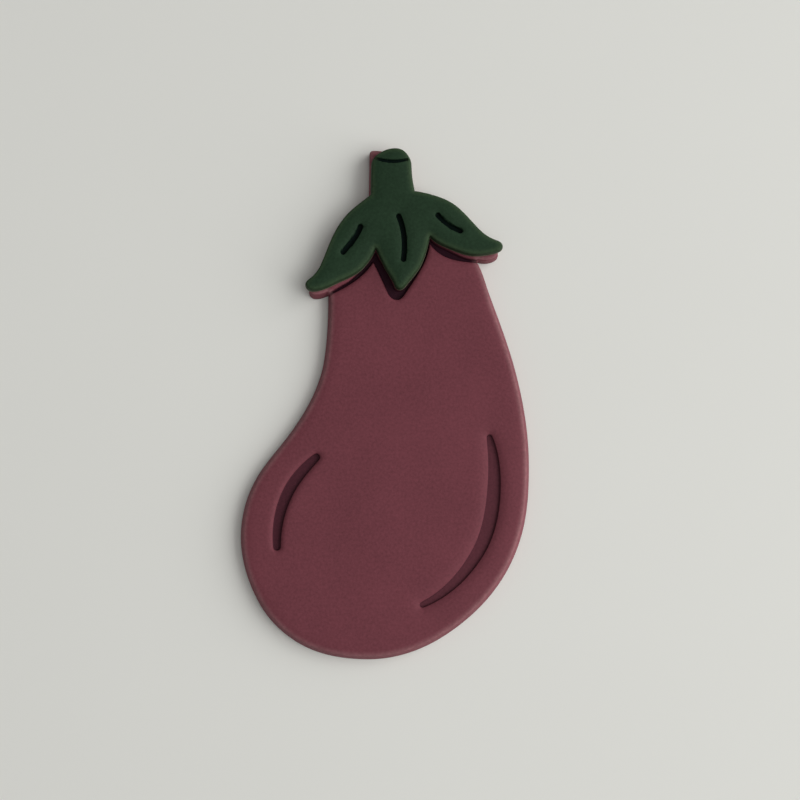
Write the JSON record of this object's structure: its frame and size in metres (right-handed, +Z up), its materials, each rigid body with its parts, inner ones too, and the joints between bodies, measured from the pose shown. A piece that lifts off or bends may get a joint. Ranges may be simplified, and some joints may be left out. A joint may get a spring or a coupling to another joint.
{
  "type": "eggplant-shaped sugar paste cut-out",
  "caption": "Flat eggplant-shaped decoration cut from rolled sugar paste, with a green calyx and stem laid on a plum-red base and pressed highlight lines.",
  "frame": {"origin": "on the resting face, under the middle of the whole outline", "axes": "+Y from the blossom end to the stem, +X to the right seen from above, +Z up from the resting face to the calyx"},
  "size_m": [0.0562, 0.1, 0.0055],
  "materials": {
    "plum_paste": "matte plum-red sugar paste, smooth with a fine grain and paler rounded edges",
    "green_paste": "matte dark green sugar paste, smooth with a fine grain and paler rounded edges"
  },
  "bodies": {
    "root": {"base_sheet": "plum_paste", "calyx_layer": "green_paste"}
  },
  "joints": []
}
